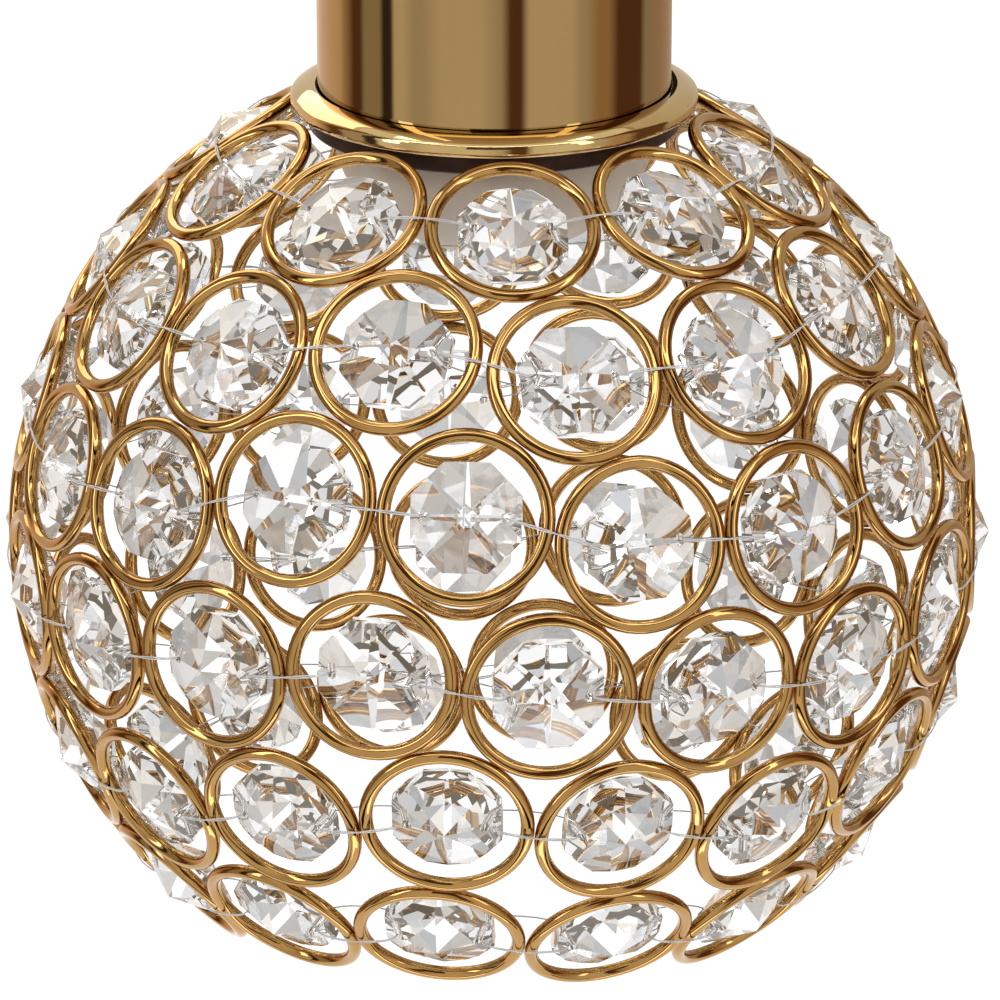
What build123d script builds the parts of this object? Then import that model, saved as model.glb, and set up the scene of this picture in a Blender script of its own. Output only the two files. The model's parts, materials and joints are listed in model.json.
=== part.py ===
"""Globe pendant light: a brass tube with a light engine, over an open globe of wire rings and cut crystals.

Millimetres and degrees, +Z up, origin at the mouth of the cord entry on top. The front is -Y, and azimuths
are counted from the front towards +X.
"""
import os
from itertools import combinations
from math import acos, atan, cos, degrees, hypot, pi, radians, sin, tan
from typing import NamedTuple

from build123d import *

os.makedirs("parts", exist_ok=True)

# Wire rings and the globe that they make
ring_diameter = 22.6
wire_diameter = 1.8
braze_gap = 0.1
equator_rings = 18
settle_passes = 400

# Cut crystals, one in each ring
crystal_flats = 14.0
crystal_thickness = 8.0
crystal_girdle = 2.4
crystal_sink = 1.0
hole_diameter = 1.2
hole_spacing = 10.0

# Thread loops that tie each crystal to its neighbours over the touching wires
thread_diameter = 0.4
thread_lift = 0.35
crimp_diameter = 1.0
crimp_length = 1.2

# Neck: collar, bezel and tube
neck_clearance = 1.9
bezel_lip = 1.25
bezel_flange = 2.5
bezel_spigot = 4.0
bezel_wall = 0.6
turn_clearance = 0.3
collar_width = 3.6
collar_height = 2.8
collar_rim = 1.7
collar_dish = 0.3
collar_edge = 0.75
tube_wall = 1.2
tube_length = 74.0
thread_fit = 0.05
slip_fit = 0.15

# Light engine behind the opal dome
dome_depth = 17.2
dome_wall = 1.6
dome_flange = 1.2
gasket_height = 0.8
gasket_width = 1.9
sink_base = 5.0
fin_height = 14.0
fin_thickness = 1.6
fin_pitch = 5.0
fin_rows = 7
fin_margin = 2.4
boss_diameter = 5.2
boss_spacing = 30.0
circlip_width = 2.1
circlip_height = 1.2
circlip_depth = 0.6
circlip_gap = 8.0
pad_thickness = 0.5
board_diameter = 32.0
board_thickness = 1.6
chip_size = 13.0
chip_height = 1.0
emitter_diameter = 11.0
emitter_height = 0.6
lead_diameter = 1.4
lead_hole = 2.6
lead_margin = 5.0
lead_proud = 0.5

# Driver and terminals above the heat sink
plate_thickness = 1.6
driver_length = 26.0
driver_width = 18.0
driver_height = 24.0
driver_edge = 2.0
terminal_length = 16.0
terminal_width = 10.0
terminal_height = 11.0
terminal_poles = 2
terminal_pitch = 8.0
terminal_bore = 3.4

# Screws
screw_diameter = 3.0
screw_fit = 0.05
head_diameter = 5.5
head_height = 2.0
board_screw_length = 5.0
board_screw_margin = 3.8
plate_screw_length = 8.0
cap_screw_count = 3
cap_screw_length = 3.8

# Top cap and cord gland
cap_flange = 2.0
cap_spigot = 5.0
cap_wall = 3.0
cap_edge = 0.8
cord_bore = 6.2
nipple_diameter = 10.0
nipple_bore = 6.8
nipple_proud = 1.0
gland_diameter = 16.0
gland_flange = 4.0
gland_spigot = 6.0
gland_thread = 12.0
bushing_diameter = 8.4
bushing_neck = 7.6
nut_height = 10.0
nut_wall = 2.4
nut_edge = 1.5
washer_diameter = 16.0
washer_thickness = 0.8
lock_nut_flats = 14.0
lock_nut_height = 3.0


class Row(NamedTuple):
    """One row of rings: how many, which side of the equator, one ring's azimuth, and how the row waves."""

    rings: int
    side: int
    first: float
    lift: float
    waves: int
    crest: float


rows = [
    Row(10, 1, 3.7, 0.0, 1, 0.0),
    Row(14, 1, 11.0, 1.5, 5, -13.0),
    Row(17, 1, -3.8, 2.5, 4, -14.5),
    Row(equator_rings, 1, 6.0, 2.3, 3, -14.0),
    Row(17, -1, 15.3, 2.2, 4, -6.0),
    Row(14, -1, 18.0, 1.2, 3, -16.0),
]

# The globe's radius is the one at which the rings of the equator touch all round
wire_radius = wire_diameter / 2
ring_radius = ring_diameter / 2 - wire_radius
touch_radius = (ring_diameter + braze_gap) / 2
globe_radius = touch_radius / tan(pi / equator_rings)
touch_angle = 2 * atan(touch_radius / globe_radius)
wire_reach = hypot(globe_radius, ring_radius)


def touching_latitude(rings):
    """The latitude, in degrees, at which this many rings in a row touch their neighbours."""
    return degrees(acos(min(1.0, sin(touch_angle / 2) / sin(pi / rings))))


def outward(azimuth, latitude):
    """The unit vector from the globe's centre towards a place on it."""
    level = cos(radians(latitude))
    return Vector(level * sin(radians(azimuth)), -level * cos(radians(azimuth)), sin(radians(latitude)))


def row_normals(row):
    """Where the rings of one row would lie if they were only spaced evenly."""
    azimuths = [row.first + 360 * turn / row.rings for turn in range(row.rings)]
    middle = row.side * touching_latitude(row.rings)
    return [outward(a, middle + row.lift * cos(radians(row.waves * (a - row.crest)))) for a in azimuths]


def settle(normals, held):
    """Push rings that overlap apart over the globe until none do. The first rings, up to held, stay put."""
    pairs = [
        (i, j)
        for i, j in combinations(range(len(normals)), 2)
        if normals[i].get_angle(normals[j]) < degrees(1.6 * touch_angle)
    ]
    for _ in range(settle_passes):
        for i, j in pairs:
            overlap = touch_angle - radians(normals[i].get_angle(normals[j]))
            if overlap <= 0 or j < held:
                continue
            away = (normals[j] - normals[i]).normalized()
            share = 1.0 if i < held else 0.5
            normals[j] = (normals[j] + away * overlap * share).normalized()
            normals[i] = (normals[i] - away * overlap * (1 - share)).normalized()


normals = [normal for row in rows for normal in row_normals(row)]
settle(normals, held=rows[0].rings)

# Heights over the globe's centre, and radii, where the top row leaves its round opening for the neck
top_angle = radians(touching_latitude(rows[0].rings)) + atan(ring_radius / globe_radius)
opening_radius = wire_reach * cos(top_angle) - wire_radius
opening_height = wire_reach * sin(top_angle) + wire_radius
bezel_radius = opening_radius - neck_clearance
tube_radius = bezel_radius - bezel_lip
tube_bore = tube_radius - tube_wall

# Levels, from the cord entry at zero downwards
flange_top = -nut_height
cap_top = flange_top - gland_flange
tube_top = cap_top - cap_flange
tube_bottom = tube_top - tube_length
collar_bottom = tube_bottom + turn_clearance
globe_level = collar_bottom - braze_gap - opening_height
bezel_bottom = tube_bottom - bezel_flange
dome_seat = tube_bottom + bezel_spigot
gasket_bottom = dome_seat + dome_flange
sink_bottom = gasket_bottom + gasket_height
sink_top = sink_bottom + sink_base
fin_top = sink_top + fin_height
plate_top = fin_top + plate_thickness
driver_top = plate_top + driver_height
board_top = sink_bottom - pad_thickness
board_bottom = board_top - board_thickness
nipple_bottom = tube_top - washer_thickness - lock_nut_height - nipple_proud

globe_center = Vector(0, 0, globe_level)


def ring_plane(normal):
    """The plane of one ring: x along its row, z outwards."""
    return Plane(globe_center + normal * globe_radius, x_dir=Vector(0, 0, 1).cross(normal), z_dir=normal)


spare = iter(normals)
ring_planes = [[ring_plane(next(spare)) for _ in range(row.rings)] for row in rows]


def save(piece, name):
    """Label a finished piece and write it."""
    piece.part.label = name
    export_step(piece.part, f"parts/{name}.step")


# Cord gland: bushing, nut and body
with BuildPart() as gland_bushing:
    with BuildSketch(Plane.XY.offset(flange_top)):
        Circle(bushing_diameter / 2)
    extrude(amount=nut_height - nut_wall - slip_fit)
    with BuildSketch(Plane.XY.offset(flange_top)):
        Circle(bushing_neck / 2)
    extrude(amount=nut_height)
    with BuildSketch(Plane.XY.offset(flange_top)):
        Circle(cord_bore / 2)
    extrude(amount=nut_height, mode=Mode.SUBTRACT)
save(gland_bushing, "gland_bushing")

with BuildPart() as gland_nut:
    with BuildSketch(Plane.XY.offset(flange_top)):
        Circle(gland_diameter / 2)
    extrude(amount=nut_height)
    fillet(gland_nut.edges().group_by(Axis.Z)[-1], radius=nut_edge)
    with BuildSketch(Plane.XY.offset(flange_top)):
        Circle(gland_thread / 2 + thread_fit)
    extrude(amount=nut_height - nut_wall, mode=Mode.SUBTRACT)
    with BuildSketch(Plane.XY.offset(flange_top)):
        Circle(bushing_neck / 2 + slip_fit)
    extrude(amount=nut_height, mode=Mode.SUBTRACT)
save(gland_nut, "gland_nut")

with BuildPart() as gland_body:
    with BuildSketch(Plane.XY.offset(cap_top)):
        Circle(gland_diameter / 2)
    extrude(amount=gland_flange)
    with BuildSketch(Plane.XY.offset(flange_top)):
        Circle(gland_thread / 2)
    extrude(amount=gland_spigot)
    with BuildSketch(Plane.XY.offset(nipple_bottom)):
        Circle(nipple_diameter / 2)
    extrude(amount=cap_top - nipple_bottom)
    with BuildSketch(Plane.XY.offset(nipple_bottom)):
        Circle(nipple_bore / 2)
    extrude(amount=flange_top - nipple_bottom, mode=Mode.SUBTRACT)
    with BuildSketch(Plane.XY.offset(flange_top)):
        Circle(bushing_diameter / 2 + slip_fit)
    extrude(amount=gland_spigot, mode=Mode.SUBTRACT)
save(gland_body, "gland_body")

# Top cap, its grub screws and the washer and nut under it
screw_level = tube_top - cap_spigot / 2
screw_turns = [180 + 360 * turn / cap_screw_count for turn in range(cap_screw_count)]
cap_screw_planes = [Plane((0, 0, screw_level), z_dir=outward(turn, 0)) for turn in screw_turns]

with BuildPart() as top_cap:
    with BuildSketch(Plane.XY.offset(tube_top)):
        Circle(tube_radius)
    extrude(amount=cap_flange)
    fillet(top_cap.edges().group_by(Axis.Z)[-1], radius=cap_edge)
    with BuildSketch(Plane.XY.offset(tube_top)):
        Circle(tube_bore - slip_fit)
        Circle(tube_bore - slip_fit - cap_wall, mode=Mode.SUBTRACT)
    extrude(amount=-cap_spigot)
    with BuildSketch(Plane.XY.offset(tube_top)):
        Circle(nipple_diameter / 2 + slip_fit)
    extrude(amount=cap_flange, mode=Mode.SUBTRACT)
    with BuildSketch(*cap_screw_planes):
        Circle(screw_diameter / 2)
    extrude(amount=tube_radius, mode=Mode.SUBTRACT)
save(top_cap, "top_cap")

with BuildPart() as cap_screws:
    with BuildSketch(*[p.offset(tube_radius - cap_screw_length) for p in cap_screw_planes]):
        Circle(screw_diameter / 2 - screw_fit)
    extrude(amount=cap_screw_length - tube_wall / 4)
save(cap_screws, "cap_screws")

with BuildPart() as lock_washer:
    with BuildSketch(Plane.XY.offset(tube_top)):
        Circle(washer_diameter / 2)
        Circle(nipple_diameter / 2 + slip_fit, mode=Mode.SUBTRACT)
    extrude(amount=-washer_thickness)
save(lock_washer, "lock_washer")

with BuildPart() as lock_nut:
    with BuildSketch(Plane.XY.offset(tube_top - washer_thickness)):
        RegularPolygon(lock_nut_flats / 2, 6, major_radius=False)
        Circle(nipple_diameter / 2 + thread_fit, mode=Mode.SUBTRACT)
    extrude(amount=-lock_nut_height)
save(lock_nut, "lock_nut")

# Tube, with a groove for the circlip and holes for the grub screws
with BuildPart() as tube_housing:
    with BuildSketch(Plane.XY.offset(tube_bottom)):
        Circle(tube_radius)
        Circle(tube_bore, mode=Mode.SUBTRACT)
    extrude(amount=tube_length)
    with BuildSketch(Plane.XY.offset(sink_top)):
        Circle(tube_bore + circlip_depth)
    extrude(amount=circlip_height, mode=Mode.SUBTRACT)
    with BuildSketch(*cap_screw_planes):
        Circle(screw_diameter / 2)
    extrude(amount=tube_radius, mode=Mode.SUBTRACT)
save(tube_housing, "tube_housing")

# Terminal block with its clamping screws, on the driver
terminal_places = GridLocations(terminal_pitch, 0, terminal_poles, 1)
with BuildPart() as terminal_block:
    with BuildSketch(Plane.XY.offset(driver_top)):
        Rectangle(terminal_length, terminal_width)
    extrude(amount=terminal_height)
    with BuildSketch(Plane.XZ.offset(-terminal_width / 2)):
        with Locations((0, driver_top + terminal_height / 3)):
            with GridLocations(terminal_pitch, 0, terminal_poles, 1):
                Circle(terminal_bore / 2)
    extrude(amount=terminal_width, mode=Mode.SUBTRACT)
    with BuildSketch(Plane.XY.offset(driver_top + terminal_height)):
        with terminal_places:
            Circle(screw_diameter / 2)
    extrude(amount=-terminal_height / 2, mode=Mode.SUBTRACT)
save(terminal_block, "terminal_block")

with BuildPart() as terminal_screws:
    with BuildSketch(Plane.XY.offset(driver_top + terminal_height)):
        with terminal_places:
            Circle(screw_diameter / 2 - screw_fit)
    extrude(amount=-terminal_height / 2)
save(terminal_screws, "terminal_screws")

with BuildPart() as led_driver:
    with BuildSketch(Plane.XY.offset(plate_top)):
        RectangleRounded(driver_length, driver_width, driver_edge)
    extrude(amount=driver_height)
save(led_driver, "led_driver")

# Driver plate on the fins, held by two screws in the heat sink's bosses
boss_places = GridLocations(0, boss_spacing, 1, 2)
lead_offset = board_diameter / 2 - lead_margin
lead_places = Locations((-fin_pitch / 2, lead_offset), (fin_pitch / 2, lead_offset))
with BuildPart() as driver_plate:
    with BuildSketch(Plane.XY.offset(fin_top)):
        Circle(tube_bore - turn_clearance)
        with boss_places:
            Circle(screw_diameter / 2 + slip_fit, mode=Mode.SUBTRACT)
        with lead_places:
            Circle(lead_hole / 2, mode=Mode.SUBTRACT)
    extrude(amount=plate_thickness)
save(driver_plate, "driver_plate")

with BuildPart() as plate_screws:
    with BuildSketch(Plane.XY.offset(plate_top)):
        with boss_places:
            Circle(head_diameter / 2)
    extrude(amount=head_height)
    with BuildSketch(Plane.XY.offset(plate_top)):
        with boss_places:
            Circle(screw_diameter / 2 - screw_fit)
    extrude(amount=-plate_screw_length)
save(plate_screws, "plate_screws")

# Heat sink: a disc with upright fins, clamped between the gasket and the circlip
board_screw_places = GridLocations(board_diameter - 2 * board_screw_margin, 0, 2, 1)
with BuildPart() as heat_sink:
    with BuildSketch(Plane.XY.offset(sink_bottom)):
        Circle(tube_bore - slip_fit)
    extrude(amount=sink_base)
    with BuildSketch(Plane.XY.offset(sink_top)):
        with GridLocations(fin_pitch, 0, fin_rows, 1):
            Rectangle(fin_thickness, 2 * tube_bore)
        Circle(tube_bore - fin_margin, mode=Mode.INTERSECT)
        with boss_places:
            Circle(boss_diameter / 2)
    extrude(amount=fin_height)
    with BuildSketch(Plane.XY.offset(fin_top)):
        with boss_places:
            Circle(screw_diameter / 2)
    extrude(amount=plate_thickness - plate_screw_length, mode=Mode.SUBTRACT)
    with BuildSketch(Plane.XY.offset(sink_bottom)):
        with board_screw_places:
            Circle(screw_diameter / 2)
        with lead_places:
            Circle(lead_hole / 2)
    extrude(amount=sink_base, mode=Mode.SUBTRACT)
save(heat_sink, "heat_sink")

with BuildPart() as sink_circlip:
    with BuildSketch(Plane.XY.offset(sink_top)):
        Circle(tube_bore + circlip_depth - slip_fit)
        Circle(tube_bore + circlip_depth - slip_fit - circlip_width, mode=Mode.SUBTRACT)
        with Locations((0, tube_bore)):
            Rectangle(circlip_gap, tube_bore, mode=Mode.SUBTRACT)
    extrude(amount=circlip_height - slip_fit)
save(sink_circlip, "sink_circlip")

with BuildPart() as thermal_pad:
    with BuildSketch(Plane.XY.offset(board_top)):
        Circle(board_diameter / 2)
        with board_screw_places:
            Circle(screw_diameter / 2 + slip_fit, mode=Mode.SUBTRACT)
        with lead_places:
            Circle(lead_hole / 2, mode=Mode.SUBTRACT)
    extrude(amount=pad_thickness)
save(thermal_pad, "thermal_pad")

with BuildPart() as led_board:
    with BuildSketch(Plane.XY.offset(board_bottom)):
        Circle(board_diameter / 2)
        with board_screw_places:
            Circle(screw_diameter / 2 + slip_fit, mode=Mode.SUBTRACT)
        with lead_places:
            Circle(lead_diameter / 2 + thread_fit, mode=Mode.SUBTRACT)
    extrude(amount=board_thickness)
save(led_board, "led_board")

with BuildPart() as board_screws:
    with BuildSketch(Plane.XY.offset(board_bottom)):
        with board_screw_places:
            Circle(head_diameter / 2)
    extrude(amount=-head_height)
    with BuildSketch(Plane.XY.offset(board_bottom)):
        with board_screw_places:
            Circle(screw_diameter / 2 - screw_fit)
    extrude(amount=board_screw_length)
save(board_screws, "board_screws")

with BuildPart() as led_chip:
    with BuildSketch(Plane.XY.offset(board_bottom)):
        Rectangle(chip_size, chip_size)
    extrude(amount=-chip_height)
    with BuildSketch(Plane.XY.offset(board_bottom - chip_height)):
        Circle(emitter_diameter / 2)
    extrude(amount=-emitter_height)
save(led_chip, "led_chip")

with BuildPart() as led_leads:
    with BuildSketch(Plane.XY.offset(plate_top)):
        with lead_places:
            Circle(lead_diameter / 2)
    extrude(amount=board_bottom - lead_proud - plate_top)
save(led_leads, "led_leads")

# Opal dome on its gasket, and the bezel that clamps it in the tube
dome_radius = tube_bore - thread_fit - bezel_wall - slip_fit
with BuildPart() as dome_gasket:
    with BuildSketch(Plane.XY.offset(gasket_bottom)):
        Circle(tube_bore - slip_fit)
        Circle(tube_bore - slip_fit - gasket_width, mode=Mode.SUBTRACT)
    extrude(amount=gasket_height)
save(dome_gasket, "dome_gasket")

with BuildPart() as diffuser_dome:
    with BuildSketch(Plane.XZ):
        with BuildLine():
            inner_radius = dome_radius - dome_wall
            inner_depth = dome_depth - dome_wall
            foot = (0, bezel_bottom)
            outer_arc = EllipticalCenterArc(foot, dome_radius, dome_depth, -90, arc_size=90)
            inner_arc = EllipticalCenterArc(foot, inner_radius, inner_depth, -90, arc_size=90)
            Line(outer_arc @ 0, inner_arc @ 0)
            Polyline(
                outer_arc @ 1,
                (dome_radius, dome_seat),
                (tube_bore - slip_fit, dome_seat),
                (tube_bore - slip_fit, gasket_bottom),
                (inner_radius, gasket_bottom),
                inner_arc @ 1,
            )
        make_face()
    revolve(axis=Axis.Z)
save(diffuser_dome, "diffuser_dome")

with BuildPart() as bezel:
    with BuildSketch(Plane.XY.offset(bezel_bottom)):
        Circle(bezel_radius)
    extrude(amount=bezel_flange)
    fillet(bezel.edges().group_by(Axis.Z)[0], radius=bezel_flange / 5)
    with BuildSketch(Plane.XY.offset(tube_bottom)):
        Circle(tube_bore - thread_fit)
    extrude(amount=bezel_spigot)
    with BuildSketch(Plane.XY.offset(bezel_bottom)):
        Circle(dome_radius + slip_fit)
    extrude(amount=bezel_flange + bezel_spigot, mode=Mode.SUBTRACT)
save(bezel, "bezel")

# Collar that the globe hangs from, loose enough to turn, with its upper face crowned by collar_dish
collar_bore = tube_radius + turn_clearance
collar_radius = tube_radius + collar_width
with BuildPart() as neck_collar:
    with BuildSketch(Plane.XZ):
        with BuildLine():
            inner_top = (collar_bore, collar_bottom + collar_height)
            rim_top = (collar_radius, collar_bottom + collar_rim)
            SagittaArc(inner_top, rim_top, collar_dish)
            Polyline(rim_top, (collar_radius, collar_bottom), (collar_bore, collar_bottom), inner_top)
        make_face()
    revolve(axis=Axis.Z)
    rim = neck_collar.edges().filter_by(GeomType.CIRCLE).group_by(SortBy.RADIUS)[-1]
    fillet(rim, radius=collar_edge)
save(neck_collar, "neck_collar")

# The crystal: a double pyramid of eight sides trimmed to an octagon, so the ridges end on the flats
crystal_ridge = crystal_thickness / (crystal_thickness - crystal_girdle) * crystal_flats / 2
with BuildPart() as crystal:
    with BuildSketch(mode=Mode.PRIVATE) as star:
        RegularPolygon(crystal_ridge, 8)
    loft(sections=[star.face(), Vertex(0, 0, crystal_thickness / 2)], ruled=True)
    mirror(about=Plane.XY)
    with BuildSketch():
        RegularPolygon(crystal_flats / 2, 8, major_radius=False, rotation=180 / 8)
    extrude(amount=crystal_thickness / 2, both=True, mode=Mode.INTERSECT)
    with BuildSketch():
        with GridLocations(hole_spacing, 0, 2, 1):
            Circle(hole_diameter / 2)
    extrude(amount=crystal_thickness / 2, both=True, mode=Mode.SUBTRACT)

# Thread loops leave the holes, pass in front over the touching wires, and are crimped inside the globe.
# Their heights are over and under the crystals, which hang a little inside the planes of their rings.
hole_reach = hole_spacing / 2
face_height = crystal_thickness / 2 * (1 - hole_reach / crystal_ridge)
over_wires = wire_reach + wire_radius + thread_diameter / 2 + thread_lift
span_height = (over_wires - hole_reach * sin(touch_angle / 2)) / cos(touch_angle / 2)
thread_back = face_height + thread_diameter / 2 + thread_lift
thread_front = max(thread_back, span_height - globe_radius + crystal_sink)


def thread_loop(here, there):
    """A loop through the facing holes of two neighbouring crystals, with its crimp between them at the back."""
    heights = (-thread_back, thread_front)
    here_back, here_front = [here.from_local_coords((hole_reach, 0, height)) for height in heights]
    there_back, there_front = [there.from_local_coords((-hole_reach, 0, height)) for height in heights]
    along = (there_back - here_back).normalized()
    crimp = (here_back + there_back) * 0.5
    start = crimp - along * crimp_length / 4
    end = crimp + along * crimp_length / 4
    with BuildPart() as loop:
        with BuildLine():
            Polyline(start, here_back, here_front, there_front, there_back, end)
        with BuildSketch(Plane(start, z_dir=here_back - start)):
            Circle(thread_diameter / 2)
        sweep(transition=Transition.RIGHT)
        with BuildSketch(Plane(crimp, z_dir=along)):
            Circle(crimp_diameter / 2)
        extrude(amount=crimp_length / 2, both=True)
    return loop.part


# Each row's rings, crystals and thread loops
for number, planes in enumerate(ring_planes, 1):
    with BuildPart() as ring_row:
        with Locations(*planes):
            Torus(ring_radius, wire_radius)
    save(ring_row, f"ring_row_{number}")

    seats = [plane.offset(-crystal_sink) for plane in planes]
    with BuildPart() as crystal_row:
        with Locations(*seats):
            add(crystal.part)
    save(crystal_row, f"crystal_row_{number}")

    loops = [thread_loop(here, there) for here, there in zip(seats, seats[1:] + seats[:1])]
    with BuildPart() as thread_row:
        add(loops)
    save(thread_row, f"thread_row_{number}")
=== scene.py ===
"""Looks for the globe pendant light: materials, smooth thread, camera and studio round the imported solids."""
import json
from math import atan2, cos, pi, radians, sin

import bpy
import numpy as np
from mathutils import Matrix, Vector


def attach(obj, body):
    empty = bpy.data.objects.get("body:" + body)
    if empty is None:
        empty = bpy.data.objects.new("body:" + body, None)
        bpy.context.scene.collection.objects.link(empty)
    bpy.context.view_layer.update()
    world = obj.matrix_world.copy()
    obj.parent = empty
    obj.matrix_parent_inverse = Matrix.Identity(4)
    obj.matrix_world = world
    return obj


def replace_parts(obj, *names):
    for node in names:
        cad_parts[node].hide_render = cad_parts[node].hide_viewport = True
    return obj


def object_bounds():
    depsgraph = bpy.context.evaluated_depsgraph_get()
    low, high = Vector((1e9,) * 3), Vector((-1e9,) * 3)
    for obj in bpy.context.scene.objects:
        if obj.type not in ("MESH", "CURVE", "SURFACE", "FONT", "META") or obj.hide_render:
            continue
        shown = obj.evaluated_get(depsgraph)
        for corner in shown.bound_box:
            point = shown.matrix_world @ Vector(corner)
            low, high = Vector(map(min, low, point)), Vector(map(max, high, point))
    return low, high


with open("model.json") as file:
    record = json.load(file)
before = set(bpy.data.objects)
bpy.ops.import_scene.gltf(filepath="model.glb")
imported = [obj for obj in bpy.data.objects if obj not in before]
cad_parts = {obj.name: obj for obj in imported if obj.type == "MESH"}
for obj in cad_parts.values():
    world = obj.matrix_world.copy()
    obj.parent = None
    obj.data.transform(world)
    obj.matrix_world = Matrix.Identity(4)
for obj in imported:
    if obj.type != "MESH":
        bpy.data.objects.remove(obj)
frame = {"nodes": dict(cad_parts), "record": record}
nodes = frame["nodes"]
cad_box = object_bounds()
scene = bpy.context.scene

ROWS = range(1, 7)
RINGS = [f"ring_row_{n}" for n in ROWS]
CRYSTALS = [f"crystal_row_{n}" for n in ROWS]
WELD_DIGITS = 6


# Where the rings and crystals are, read from the solids

def islands(mesh):
    """The vertex positions of each loose piece of a mesh, welded where its faces meet."""
    points = np.zeros(len(mesh.vertices) * 3, np.float32)
    mesh.vertices.foreach_get("co", points)
    points = points.reshape(-1, 3).astype(float)
    weld = np.unique(np.round(points, WELD_DIGITS), axis=0, return_inverse=True)[1].ravel()
    edges = np.zeros(len(mesh.edges) * 2, np.int32)
    mesh.edges.foreach_get("vertices", edges)
    edges = weld[edges.reshape(-1, 2)]
    label = np.arange(weld.max() + 1)
    while True:
        low = np.minimum(label[edges[:, 0]], label[edges[:, 1]])
        new = label.copy()
        np.minimum.at(new, edges[:, 0], low)
        np.minimum.at(new, edges[:, 1], low)
        new = new[new]
        if (new == label).all():
            break
        label = new
    owner = label[weld]
    return [points[owner == name] for name in np.unique(owner)]


def ring_places(node):
    """The centre and axis of each ring of a row."""
    places = []
    for points in islands(nodes[node].data):
        unique = np.unique(np.round(points, WELD_DIGITS), axis=0)
        middle = unique.mean(0)
        axes = np.linalg.svd(unique - middle, full_matrices=False)[2]
        places.append((Vector(middle), Vector(axes[2])))
    return places


def crystal_places(node):
    """The middle of each crystal of a row, in order of azimuth from the back."""
    middles = [Vector((points.min(0) + points.max(0)) / 2) for points in islands(nodes[node].data)]
    return sorted(middles, key=lambda middle: atan2(middle.x, -middle.y))


def globe_centre(places):
    """The point nearest to the axes of all the rings."""
    total, right_side = np.zeros((3, 3)), np.zeros(3)
    for middle, axis in places:
        across = np.eye(3) - np.outer(axis, axis)
        total += across
        right_side += across @ np.array(middle)
    return Vector(np.linalg.solve(total, right_side))


every_ring = [place for name in RINGS for place in ring_places(name)]
centre = globe_centre(every_ring)
radius = sum((middle - centre).length for middle, _ in every_ring) / len(every_ring)
seats = [crystal_places(name) for name in CRYSTALS]


# Materials

NOISE_DETAIL = 3.0
NOISE_RANGE = (0.3, 0.7)
BLEND_RANGE = (0.35, 0.65)
RELIEF_FINENESS = 8
RELIEF_DEPTH = 0.0001


def new_material(name):
    """A new node material, with its tree and its Principled shader."""
    made = bpy.data.materials.new(name)
    made.use_nodes = True
    return made, made.node_tree, made.node_tree.nodes["Principled BSDF"]


def noise(tree, scale, stretch=(1, 1, 1)):
    """A noise factor in object space, scale in features per metre."""
    coords = tree.nodes.new("ShaderNodeTexCoord")
    mapping = tree.nodes.new("ShaderNodeMapping")
    mapping.inputs["Scale"].default_value = stretch
    texture = tree.nodes.new("ShaderNodeTexNoise")
    texture.inputs["Scale"].default_value = scale
    texture.inputs["Detail"].default_value = NOISE_DETAIL
    tree.links.new(coords.outputs["Object"], mapping.inputs["Vector"])
    tree.links.new(mapping.outputs["Vector"], texture.inputs["Vector"])
    return texture.outputs["Fac"]


def spread(tree, factor, low, high):
    """The factor mapped to a range, for roughness and the like."""
    node = tree.nodes.new("ShaderNodeMapRange")
    node.inputs["From Min"].default_value = NOISE_RANGE[0]
    node.inputs["From Max"].default_value = NOISE_RANGE[1]
    node.inputs["To Min"].default_value = low
    node.inputs["To Max"].default_value = high
    tree.links.new(factor, node.inputs["Value"])
    return node.outputs["Result"]


def blend_colour(tree, factor, first, second):
    """Two colours mixed by a factor."""
    ramp = tree.nodes.new("ShaderNodeValToRGB")
    for stop, position, colour in zip(ramp.color_ramp.elements, BLEND_RANGE, (first, second)):
        stop.position = position
        stop.color = (*colour, 1)
    tree.links.new(factor, ramp.inputs["Fac"])
    return ramp.outputs["Color"]


def relief(tree, shader, factor, strength):
    """Fine bumps on a shader."""
    node = tree.nodes.new("ShaderNodeBump")
    node.inputs["Strength"].default_value = strength
    node.inputs["Distance"].default_value = RELIEF_DEPTH
    tree.links.new(factor, node.inputs["Height"])
    tree.links.new(node.outputs["Normal"], shader.inputs["Normal"])


def surface(name, first, second, metallic, rough, scale, bumps=0.0, stretch=(1, 1, 1)):
    """A finish whose colour and roughness wander a little between two values."""
    made, tree, shader = new_material(name)
    factor = noise(tree, scale, stretch)
    tree.links.new(blend_colour(tree, factor, first, second), shader.inputs["Base Color"])
    tree.links.new(spread(tree, factor, *rough), shader.inputs["Roughness"])
    shader.inputs["Metallic"].default_value = metallic
    if bumps:
        relief(tree, shader, noise(tree, scale * RELIEF_FINENESS, stretch), bumps)
    return made


gold = surface("polished_gold", (0.43, 0.240, 0.076), (0.47, 0.266, 0.088), 1.0, (0.03, 0.06), 260)
brass = surface(
    "tube_brass", (0.39, 0.250, 0.100), (0.41, 0.265, 0.108), 1.0, (0.04, 0.08), 90, stretch=(1, 1, 0.15)
)
collar_gold = surface("collar_gold", (0.56, 0.385, 0.160), (0.60, 0.415, 0.180), 1.0, (0.02, 0.05), 200)
# Painted shade: the near-black colour of the bezel ring under the collar stands in for the shade that falls
# there.
bezel_painted_shade = surface("dark_bronze", (0.030, 0.015, 0.010), (0.045, 0.022, 0.014), 0.7, (0.30, 0.45), 300, 0.1)
rubber = surface("black_rubber", (0.012, 0.012, 0.012), (0.02, 0.02, 0.02), 0.0, (0.6, 0.8), 400, 0.3)
steel = surface("zinc_steel", (0.42, 0.43, 0.45), (0.52, 0.52, 0.52), 1.0, (0.22, 0.38), 500, 0.1)
plastic = surface("white_plastic", (0.70, 0.70, 0.67), (0.76, 0.76, 0.73), 0.0, (0.42, 0.55), 500, 0.1)
aluminium = surface("sink_aluminium", (0.55, 0.56, 0.58), (0.63, 0.64, 0.66), 1.0, (0.25, 0.40), 400, 0.1)
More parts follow.
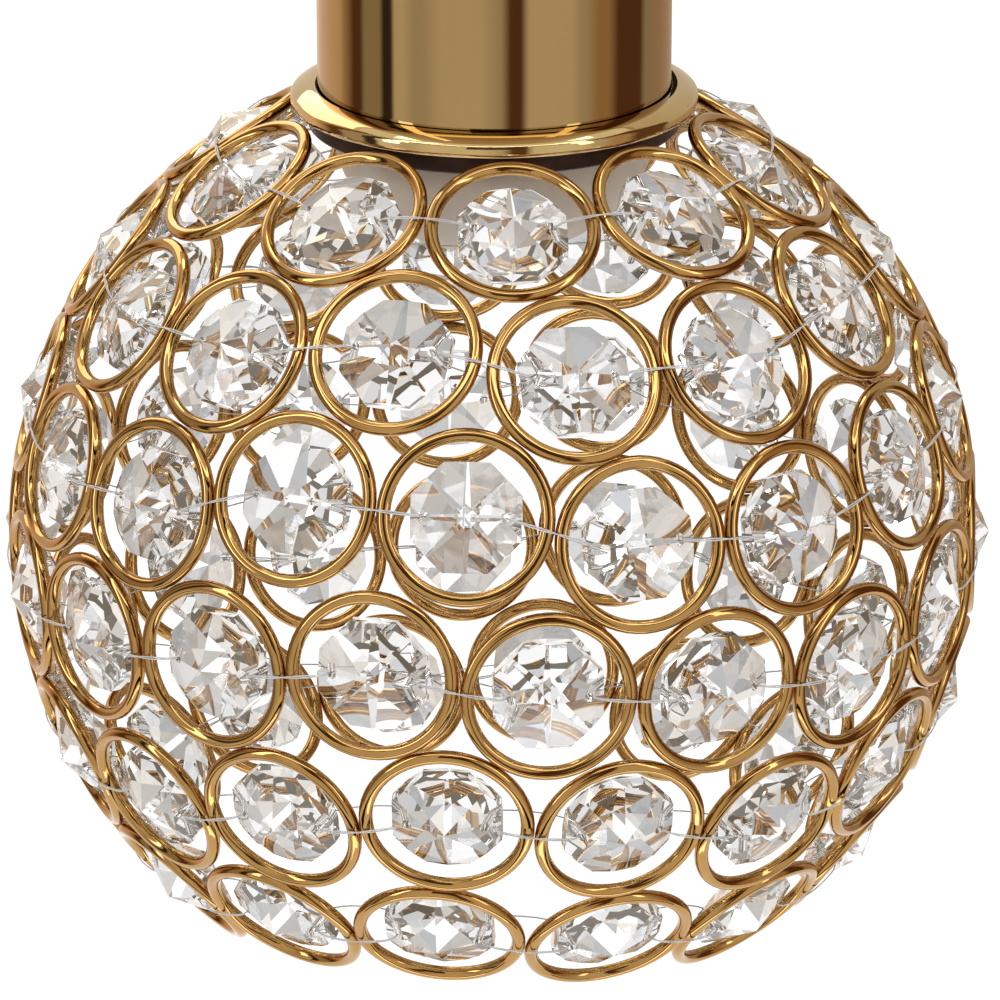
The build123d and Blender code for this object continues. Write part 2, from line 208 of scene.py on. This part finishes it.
insulation = surface("lead_insulation", (0.35, 0.01, 0.01), (0.42, 0.02, 0.015), 0.0, (0.3, 0.4), 500)
silicone = surface("grey_silicone", (0.26, 0.27, 0.28), (0.32, 0.33, 0.34), 0.0, (0.55, 0.7), 500, 0.15)
board = surface("board_white", (0.74, 0.74, 0.70), (0.80, 0.80, 0.76), 0.0, (0.35, 0.5), 500)
phosphor = surface("phosphor", (0.75, 0.55, 0.06), (0.82, 0.62, 0.09), 0.0, (0.4, 0.5), 900)


def opal_glass():
    """The milky glass of the lens."""
    made, tree, shader = new_material("opal")
    colour = blend_colour(tree, noise(tree, 60), (0.50, 0.42, 0.34), (0.54, 0.46, 0.37))
    tree.links.new(colour, shader.inputs["Base Color"])
    tree.links.new(spread(tree, noise(tree, 300), 0.28, 0.36), shader.inputs["Roughness"])
    shader.inputs["Subsurface Weight"].default_value = 0.3
    shader.inputs["Subsurface Radius"].default_value = (0.004, 0.003, 0.002)
    return made


# A path is followed through four reflections. One that is still inside a crystal after those would end in
# black, so the crystal gives it a dim painted glow instead.
LAST_REFLECTION = 3.5
CUT_OFF_GLOW = (0.075, 0.062, 0.046)


def cut_crystal():
    """Clear, heavy crystal whose polish wanders very little."""
    made, tree, shader = new_material("crystal")
    shader.inputs["Base Color"].default_value = (0.985, 0.988, 0.99, 1)
    shader.inputs["Transmission Weight"].default_value = 1.0
    shader.inputs["IOR"].default_value = 1.74
    # Painted glow: the crystal gives off this dim light only on paths that are past the last reflection.
    shader.inputs["Emission Color"].default_value = (*CUT_OFF_GLOW, 1)
    path = tree.nodes.new("ShaderNodeLightPath")
    cut_off = tree.nodes.new("ShaderNodeMath")
    cut_off.operation = "GREATER_THAN"
    cut_off.inputs[1].default_value = LAST_REFLECTION
    tree.links.new(path.outputs["Glossy Depth"], cut_off.inputs[0])
    tree.links.new(cut_off.outputs["Value"], shader.inputs["Emission Strength"])
    tree.links.new(spread(tree, noise(tree, 300), 0.0, 0.012), shader.inputs["Roughness"])
    return made


def clear_thread():
    """Nylon thread, partly clear."""
    made, tree, shader = new_material("clear_thread")
    colour = blend_colour(tree, noise(tree, 500), (0.62, 0.62, 0.62), (0.76, 0.76, 0.75))
    tree.links.new(colour, shader.inputs["Base Color"])
    shader.inputs["Roughness"].default_value = 0.18
    shader.inputs["Transmission Weight"].default_value = 0.45
    shader.inputs["IOR"].default_value = 1.5
    return made


nylon = clear_thread()
FINISHES = {
    "polished_gold": gold,
    "tube_brass": brass,
    "dark_bronze": bezel_painted_shade,
    "crystal": cut_crystal(),
    "opal": opal_glass(),
    "thread": nylon,
    "black_rubber": rubber,
    "steel": steel,
    "white_plastic": plastic,
    "sink_aluminium": aluminium,
    "lead_insulation": insulation,
    "grey_silicone": silicone,
    "board_white": board,
    "phosphor": phosphor,
}
for entry in frame["record"]["subparts"]:
    mesh = nodes[entry["node"]].data
    mesh.materials.clear()
    mesh.materials.append(FINISHES[entry["material_slot"]])
nodes["neck_collar"].data.materials[0] = collar_gold


# Smooth thread in the place of the straight spans

HOLE_REACH = 0.005
HOLE_DEPTH = 0.0023
THREAD_RADIUS = 0.00009
THREAD_LIFT = 0.0002
STRAND_SPREAD = 0.0002
WIRES_SHARE = 0.38
up = Vector((0, 0, 1))


def farthest(names):
    """How far the outermost point of these nodes is from the globe's centre."""
    reach = 0.0
    for name in names:
        points = np.concatenate(islands(nodes[name].data))
        reach = max(reach, np.linalg.norm(points - np.array(centre), axis=1).max())
    return reach


over_wires = farthest(RINGS) + THREAD_RADIUS + THREAD_LIFT


def lifted(start, end, share):
    """A place on the way from start to end, moved outwards to clear the wires."""
    return centre + (start.lerp(end, share) - centre).normalized() * over_wires


def thread_row(name, middles):
    """Two strands in front of each pair of touching wires, through the facing holes of the two crystals."""
    curve = bpy.data.curves.new(name, "CURVE")
    curve.dimensions = "3D"
    curve.bevel_depth = THREAD_RADIUS
    curve.bevel_resolution = 3
    curve.resolution_u = 6
    for here, there in zip(middles, middles[1:] + middles[:1]):
        ends = []
        for middle, sign in ((here, 1), (there, -1)):
            out = (middle - centre).normalized()
            hole = middle + up.cross(out).normalized() * HOLE_REACH * sign
            ends.append((hole + out * HOLE_DEPTH, hole - out * HOLE_DEPTH))
        (here_front, here_back), (there_front, there_back) = ends
        across = (here_front - centre).cross(there_front - centre).normalized()
        for aside in (across * STRAND_SPREAD, across * -STRAND_SPREAD):
            loop = [
                here_front,
                lifted(here_front, there_front, WIRES_SHARE) + aside,
                lifted(here_front, there_front, 1 - WIRES_SHARE) - aside,
                there_front,
                there_back,
                here_back,
            ]
            spline = curve.splines.new("NURBS")
            spline.points.add(len(loop) - 1)
            for point, place in zip(spline.points, loop):
                point.co = (*place, 1)
            spline.use_cyclic_u = True
            spline.order_u = 3
    curve.materials.append(nylon)
    made = bpy.data.objects.new(name, curve)
    scene.collection.objects.link(made)
    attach(made, "globe")
    return made


for number, middles in zip(ROWS, seats):
    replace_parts(thread_row(f"smooth_thread_{number}", middles), f"thread_row_{number}")


# Camera, at the photograph's angle

PICTURE_PIXELS = 1000
RADIUS_PIXELS = 471.0
AIM_RIGHT_PIXELS = 5.6
AIM_UP_PIXELS = 26.0
PITCH = radians(20.2)
DISTANCE = 12 * radius
SENSOR_WIDTH = 36
NEAREST = 0.01

right = Vector((1, 0, 0))
back = Vector((0, -cos(PITCH), sin(PITCH)))
above = Vector((0, sin(PITCH), cos(PITCH)))
aim = centre + (right * AIM_RIGHT_PIXELS + above * AIM_UP_PIXELS) * radius / RADIUS_PIXELS
lens = bpy.data.cameras.new("camera")
lens.sensor_width = SENSOR_WIDTH
lens.lens = SENSOR_WIDTH * RADIUS_PIXELS * DISTANCE / radius / PICTURE_PIXELS
lens.clip_start = NEAREST
camera = bpy.data.objects.new("camera", lens)
camera.location = centre + back * DISTANCE
camera.rotation_euler = (aim - camera.location).to_track_quat("-Z", "Y").to_euler()
scene.collection.objects.link(camera)
scene.camera = camera
scene.view_settings.view_transform = "Standard"


# The world: white where it is seen, and a softer light on the object

WHITE = (1, 1, 1, 1)
WORLD_LIGHT = 0.7
WORLD_SEEN = 1.0


def seen_directly(tree):
    """One for rays from the camera, in reflections and in refractions, and zero for the given light."""
    path = tree.nodes.new("ShaderNodeLightPath")
    first = tree.nodes.new("ShaderNodeMath")
    first.operation = "MAXIMUM"
    second = tree.nodes.new("ShaderNodeMath")
    second.operation = "MAXIMUM"
    tree.links.new(path.outputs["Is Camera Ray"], first.inputs[0])
    tree.links.new(path.outputs["Is Glossy Ray"], first.inputs[1])
    tree.links.new(first.outputs["Value"], second.inputs[0])
    tree.links.new(path.outputs["Is Transmission Ray"], second.inputs[1])
    return second.outputs["Value"]


def studio_world():
    """A plain white world."""
    made = bpy.data.worlds.new("studio")
    made.use_nodes = True
    tree = made.node_tree
    given = tree.nodes["Background"]
    given.inputs["Color"].default_value = WHITE
    given.inputs["Strength"].default_value = WORLD_LIGHT
    seen = tree.nodes.new("ShaderNodeBackground")
    seen.inputs["Color"].default_value = WHITE
    seen.inputs["Strength"].default_value = WORLD_SEEN
    pick = tree.nodes.new("ShaderNodeMixShader")
    tree.links.new(seen_directly(tree), pick.inputs["Fac"])
    tree.links.new(given.outputs["Background"], pick.inputs[1])
    tree.links.new(seen.outputs["Background"], pick.inputs[2])
    tree.links.new(pick.outputs["Shader"], tree.nodes["World Output"].inputs["Surface"])
    return made


scene.world = studio_world()


# The floor

FLOOR_DROP = 1.6
FLOOR_HALF = 12.0
FLOOR_TONE = 0.9
FLOOR_GLOW = 0.45


def stage_mesh(name, points, faces, material):
    """A mesh object from points and faces, marked as stage."""
    mesh = bpy.data.meshes.new(name)
    mesh.from_pydata(points, [], faces)
    mesh.materials.append(material)
    made = bpy.data.objects.new(name, mesh)
    scene.collection.objects.link(made)
    return made


def pale_floor():
    """Matt pale paint with a faint glow, so that the floor is nearly as white as the world."""
    made, _, shader = new_material("pale_floor")
    shader.inputs["Base Color"].default_value = (FLOOR_TONE, FLOOR_TONE, FLOOR_TONE, 1)
    shader.inputs["Roughness"].default_value = 0.9
    shader.inputs["Specular IOR Level"].default_value = 0.1
    shader.inputs["Emission Color"].default_value = WHITE
    shader.inputs["Emission Strength"].default_value = FLOOR_GLOW
    return made


floor_level = cad_box[0].z - FLOOR_DROP
corners = [(-1, -1), (1, -1), (1, 1), (-1, 1)]
floor_points = [(x * FLOOR_HALF, y * FLOOR_HALF, floor_level) for x, y in corners]
stage_mesh("floor", floor_points, [(0, 1, 2, 3)], pale_floor())


# Studio cards, which only reflections or the crystals see

def glow_material(name):
    """A material that only glows, with its tree and its Emission shader."""
    made = bpy.data.materials.new(name)
    made.use_nodes = True
    tree = made.node_tree
    tree.nodes.remove(tree.nodes["Principled BSDF"])
    glow = tree.nodes.new("ShaderNodeEmission")
    tree.links.new(glow.outputs["Emission"], tree.nodes["Material Output"].inputs["Surface"])
    return made, tree, glow


def card_paint(name, colour, strength=1.0):
    """The flat tone of a studio card."""
    made, _, glow = glow_material(name)
    glow.inputs["Color"].default_value = (*colour, 1)
    glow.inputs["Strength"].default_value = strength
    return made


def card(name, points, paint):
    """A curved card from pairs of points across it, kept out of the picture, the light and the shadows."""
    faces = [(k, k + 1, k + 3, k + 2) for k in range(0, len(points) - 2, 2)]
    made = stage_mesh(name, points, faces, paint)
    made.visible_camera = False
    made.visible_diffuse = False
    made.visible_shadow = False
    return made


def reflected_card(name, points, paint):
    """A card that the crystals don't show."""
    card(name, points, paint).visible_transmission = False


def steps_between(ends, steps):
    """Even steps from one angle to another, given in degrees, as radians."""
    return [radians(ends[0] + (ends[1] - ends[0]) * step / steps) for step in range(steps + 1)]


# Bands of tone round the light, which the tube reflects: azimuths in degrees from the front

PALE = (0.92, 0.92, 0.92)
SHADE = (0.70, 0.68, 0.66)
GREY = (0.50, 0.46, 0.40)
TAN = (0.95, 0.72, 0.55)
UMBER = (0.55, 0.40, 0.28)
BROWN = (0.16, 0.08, 0.05)
BLACK = (0.06, 0.05, 0.05)
SURROUND_BANDS = [
    (-180, -118, TAN),
    (-110, -109, UMBER),
    (-102, -95, BROWN),
    (-91, -78, GREY),
    (-75, -69, BLACK),
    (-66, -60, PALE),
    (-52, -46, SHADE),
    (-34, -8, PALE),
    (2, 4, SHADE),
    (10, 17, BROWN),
    (22, 50, PALE),
    (57, 60, SHADE),
    (70, 78, UMBER),
    (86, 107, BROWN),
    (113, 120, GREY),
    (130, 180, UMBER),
]
SURROUND_REACH = 0.6
SURROUND_LEVELS = (-0.5, 0.6)
SURROUND_STEPS = 96
FULL_TURN = (0, 360)


def surround_paint():
    """The bands, from a ramp over the azimuth."""
    made, tree, glow = glow_material("surround")
    coords = tree.nodes.new("ShaderNodeTexCoord")
    split = tree.nodes.new("ShaderNodeSeparateXYZ")
    ahead = tree.nodes.new("ShaderNodeMath")
    ahead.operation = "MULTIPLY"
    ahead.inputs[1].default_value = -1
    azimuth = tree.nodes.new("ShaderNodeMath")
    azimuth.operation = "ARCTAN2"
    share = tree.nodes.new("ShaderNodeMapRange")
    share.inputs["From Min"].default_value = -pi
    share.inputs["From Max"].default_value = pi
    ramp = tree.nodes.new("ShaderNodeValToRGB")
    stops = ramp.color_ramp.elements
    edges = [(edge, tone) for start, end, tone in SURROUND_BANDS for edge in (start, end)]
    while len(stops) < len(edges):
        stops.new(0.5)
    for stop, (edge, tone) in zip(stops, edges):
        stop.position = (edge + 180) / 360
        stop.color = (*tone, 1)
    tree.links.new(coords.outputs["Object"], split.inputs["Vector"])
    tree.links.new(split.outputs["Y"], ahead.inputs[0])
    tree.links.new(split.outputs["X"], azimuth.inputs[0])
    tree.links.new(ahead.outputs["Value"], azimuth.inputs[1])
    tree.links.new(azimuth.outputs["Value"], share.inputs["Value"])
    tree.links.new(share.outputs["Result"], ramp.inputs["Fac"])
    tree.links.new(ramp.outputs["Color"], glow.inputs["Color"])
    return made


surround_points = []
for turn in steps_between(FULL_TURN, SURROUND_STEPS):
    for level in SURROUND_LEVELS:
        surround_points.append((SURROUND_REACH * sin(turn), -SURROUND_REACH * cos(turn), level))
reflected_card("surround", surround_points, surround_paint())


# Pale cards behind the globe, in rings round the line of sight, which only the crystals show

BACKDROP_REACH = 0.75
BACKDROP_STEPS = 6
BACKDROP_GAP = 2
WARM = Vector((1.0, 0.94, 0.86))
NEUTRAL = Vector((1.0, 1.0, 1.0))
BACKDROPS = [
    ((12, 22), (0.45, 0.60, 0.42, 0.90, 0.42, 0.55, 0.44, 0.48, 0.85, 0.42, 0.60, 0.42)),
    ((22, 33), (0.42, 0.44, 0.48, 0.42, 0.75, 0.44, 0.42, 0.52, 0.44, 0.80, 0.42, 0.46)),
    ((33, 50), (0.55, 0.44, 0.75, 0.46, 0.42, 0.52, 0.44, 0.70, 0.42, 0.80, 0.46, 0.56)),
    ((50, 78), (0.85, 0.60, 0.90, 0.50, 0.80, 0.85, 0.55, 0.90, 0.65, 0.85, 0.45, 0.80)),
    ((78, 120), (0.90, 0.80, 0.95, 0.85, 0.75, 0.90, 0.80, 0.95, 0.75, 0.90, 0.80, 0.85)),
]


def backdrop(name, clock, slants, colour):
    """One card, between two clock angles and two angles from the line of sight, in degrees."""
    points = []
    for turn in steps_between(clock, BACKDROP_STEPS):
        side = right * sin(turn) + above * cos(turn)
        for slant in slants:
            outwards = side * sin(radians(slant)) - back * cos(radians(slant))
            points.append(centre + outwards * BACKDROP_REACH)
    card(name, points, card_paint(name, colour)).visible_glossy = False


for ring, (slants, tones) in enumerate(BACKDROPS):
    step = 360 / len(tones)
    for place, tone in enumerate(tones):
        tint = WARM if (place + ring) % 2 else NEUTRAL
        clock = (place * step + BACKDROP_GAP, (place + 1) * step - BACKDROP_GAP)
        backdrop(f"backdrop_{ring}_{place}", clock, slants, tint * tone)


# Soft boxes, cards and flags round the globe, which the wires and collar reflect: azimuths and elevations

PANEL_REACH = 0.5
PANEL_STEPS = 12
COOL = (0.92, 0.97, 1.04)
CREAM = (1.0, 0.94, 0.82)
KHAKI = (0.40, 0.34, 0.24)
DUSK = (0.10, 0.07, 0.045)
DIM = (0.05, 0.045, 0.03)
SOOT = (0.02, 0.015, 0.01)
PANELS = [
    ("soft_box_top", (-65, 65), (49, 56), COOL, 4.0),
    ("soft_box_left", (-62, -52), (2, 70), COOL, 5.0),
    ("soft_box_right", (46, 55), (5, 60), COOL, 4.0),
    ("soft_box_low", (-45, 45), (-60, -53), COOL, 4.0),
    ("soft_box_rim", (130, 230), (64, 78), COOL, 5.0),
    ("soft_box_back_left", (184, 240), (24, 52), CREAM, 3.0),
    ("card_back_left", (178, 240), (1, 24), CREAM, 0.85),
    ("card_back_right", (110, 172), (1, 52), CREAM, 0.7),
    ("flag_back_right", (168, 177), (1, 40), SOOT, 1.0),
    ("flag_front", (-15, 15), (6, 34), DUSK, 1.0),
    ("flag_top", (-80, 80), (38, 44), SOOT, 1.0),
    ("flag_low", (-80, 80), (-48, -40), SOOT, 1.0),
    ("ceiling_left", (-180, -10), (80, 88), KHAKI, 1.0),
    ("ceiling_right", (-10, 180), (80, 88), DIM, 1.0),
]
for name, azimuths, heights, colour, strength in PANELS:
    panel_points = []
    for turn in steps_between(azimuths, PANEL_STEPS):
        for height in heights:
            level = cos(radians(height))
            outwards = Vector((level * sin(turn), -level * cos(turn), sin(radians(height))))
            panel_points.append(centre + outwards * PANEL_REACH)
    reflected_card(name, panel_points, card_paint(name, colour, strength))


# Lamps: square soft boxes that face the globe, with their places from its centre, sizes and watts

LAMPS = [
    ("key", (-0.8, -0.8, 0.9), 0.7, 8),
    ("fill", (1.0, -0.6, 0.5), 0.7, 4),
    ("rear", (0.3, 1.0, 0.8), 0.6, 4),
]
for name, place, width, power in LAMPS:
    light = bpy.data.lights.new(name, "AREA")
    light.shape = "SQUARE"
    light.size = width
    light.energy = power
    lamp = bpy.data.objects.new(name, light)
    lamp.location = centre + Vector(place)
    lamp.rotation_euler = (-Vector(place)).to_track_quat("-Z", "Y").to_euler()
    scene.collection.objects.link(lamp)
